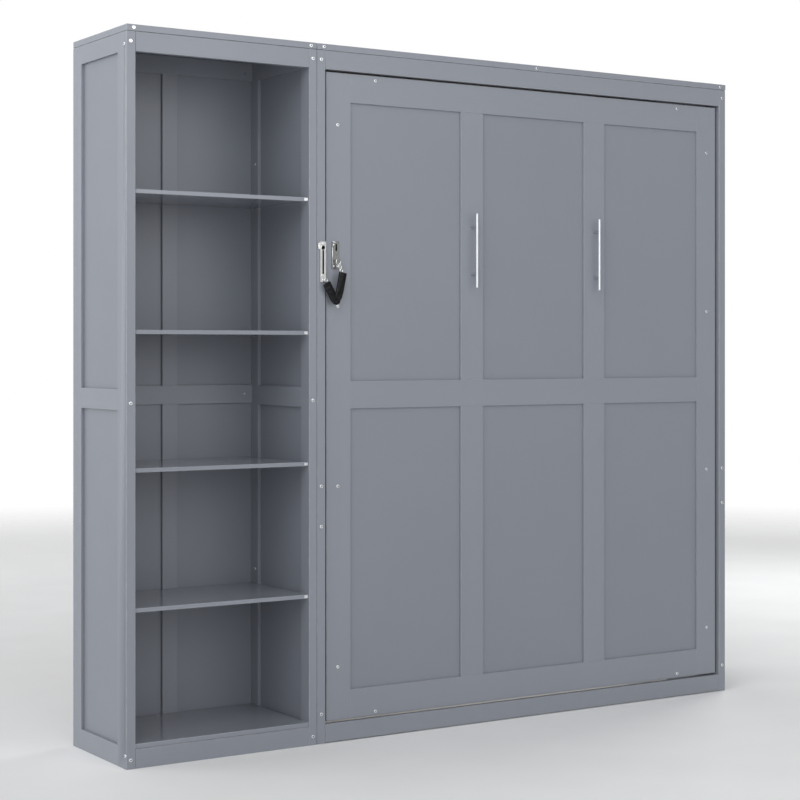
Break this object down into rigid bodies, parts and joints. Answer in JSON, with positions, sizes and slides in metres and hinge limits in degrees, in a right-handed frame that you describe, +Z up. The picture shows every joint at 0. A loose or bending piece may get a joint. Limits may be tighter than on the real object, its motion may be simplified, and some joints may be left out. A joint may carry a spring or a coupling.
{
  "type": "murphy wall bed",
  "caption": "Wall bed that folds up behind a panelled door in a wooden cabinet, with an open shelf unit on its left side.",
  "frame": {"origin": "middle of the closed bed's bounding box at floor level", "axes": "+X to the right along the front, +Y back to the wall, +Z up"},
  "size_m": [2.4154, 0.4334, 2.245],
  "materials": {
    "painted_wood": "satin cool grey paint on wood boards",
    "slat_wood": "bare planed pine",
    "bolt_steel": "bright nickel-plated steel",
    "pull_steel": "satin brushed steel",
    "guard_steel": "polished nickel-plated steel",
    "mechanism_steel": "dark powder-coated steel",
    "strut_black": "gloss black enamelled tube",
    "rod_chrome": "hard-chromed rod",
    "foot_rubber": "matt black rubber",
    "sleeve_leather": "stitched black leather sleeve"
  },
  "bodies": {
    "cabinet": {"shelf_left_stiles": "painted_wood", "shelf_left_rails": "painted_wood", "shelf_left_panels": "painted_wood", "shelf_right_stiles": "painted_wood", "shelf_right_rails": "painted_wood", "shelf_right_panels": "painted_wood", "shelf_back_frame": "painted_wood", "shelf_back_panels": "painted_wood", "shelf_top_board": "painted_wood", "shelf_header_rail": "painted_wood", "shelf_kick_rail": "painted_wood", "shelf_bottom_board": "painted_wood", "shelf_1": "painted_wood", "shelf_2": "painted_wood", "shelf_3": "painted_wood", "shelf_4": "painted_wood", "shelf_pins": "bolt_steel", "shelf_clips": "bolt_steel", "shelf_unit_bolts": "bolt_steel", "bed_left_stiles": "painted_wood", "bed_left_rails": "painted_wood", "bed_left_panels": "painted_wood", "bed_right_stiles": "painted_wood", "bed_right_rails": "painted_wood", "bed_right_panels": "painted_wood", "bed_top_board": "painted_wood", "bed_header_rail": "painted_wood", "bed_kick_rail": "painted_wood", "bed_back_rails": "painted_wood", "mechanism_boards": "painted_wood", "bearing_plates": "mechanism_steel", "strut_anchors": "mechanism_steel", "bed_unit_bolts": "bolt_steel", "guard_track": "guard_steel"},
    "bed": {"door_stiles": "painted_wood", "door_rails": "painted_wood", "door_muntins": "painted_wood", "door_panels": "painted_wood", "door_bolts": "bolt_steel", "bed_side_rails": "painted_wood", "bed_end_rails": "painted_wood", "slat_ledgers": "slat_wood", "centre_beam": "slat_wood", "slats": "slat_wood", "hinge_arms": "mechanism_steel", "pull_left": "pull_steel", "pull_right": "pull_steel", "guard_plate": "guard_steel", "guard_sleeve": "sleeve_leather", "guard_chain": "guard_steel", "leg_blocks": "painted_wood", "leg_pivots": "rod_chrome"},
    "left_leg": {"leg_left": "mechanism_steel", "leg_foot_left": "foot_rubber"},
    "right_leg": {"leg_right": "mechanism_steel", "leg_foot_right": "foot_rubber"},
    "left_strut_cylinder": {"strut_cylinder_left": "strut_black"},
    "right_strut_cylinder": {"strut_cylinder_right": "strut_black"},
    "left_strut_rod": {"strut_rod_left": "rod_chrome"},
    "right_strut_rod": {"strut_rod_right": "rod_chrome"}
  },
  "joints": [
    {"name": "bed_fold", "type": "hinge", "parent": "cabinet", "child": "bed", "pos_m": [0.3312, -0.12125, 0.31], "axis": [1, 0, 0], "range_deg": [0, 90], "stiffness_Nm_per_rad": 150, "springref_deg": -20.05},
    {"name": "left_leg_fold", "type": "hinge", "parent": "bed", "child": "left_leg", "pos_m": [-0.5073, -0.13925, 2.1], "axis": [-1, 0, 0], "range_deg": [0, 90]},
    {"name": "left_strut_swing", "type": "hinge", "parent": "cabinet", "child": "left_strut_cylinder", "pos_m": [-0.4933, -0.06625, 0.82], "axis": [1, 0, 0], "range_deg": [0, 5]},
    {"name": "left_rod_slide", "type": "slide", "parent": "left_strut_cylinder", "child": "left_strut_rod", "axis": [0, -0.0428, -0.9991], "range_m": [-0.105, 0]},
    {"name": "right_leg_fold", "type": "hinge", "parent": "bed", "child": "right_leg", "pos_m": [1.1697, -0.13925, 2.1], "axis": [-1, 0, 0], "range_deg": [0, 90]},
    {"name": "right_strut_swing", "type": "hinge", "parent": "cabinet", "child": "right_strut_cylinder", "pos_m": [1.1557, -0.06625, 0.82], "axis": [1, 0, 0], "range_deg": [0, 5]},
    {"name": "right_rod_slide", "type": "slide", "parent": "right_strut_cylinder", "child": "right_strut_rod", "axis": [0, -0.0428, -0.9991], "range_m": [-0.105, 0]}
  ],
  "couplings": [
    {"joint": "left_strut_swing", "follows": "bed_fold", "ratio": 0.052422},
    {"joint": "left_rod_slide", "follows": "bed_fold", "m_per_rad": -0.06631},
    {"joint": "right_strut_swing", "follows": "bed_fold", "ratio": 0.052422},
    {"joint": "right_rod_slide", "follows": "bed_fold", "m_per_rad": -0.06631}
  ]
}
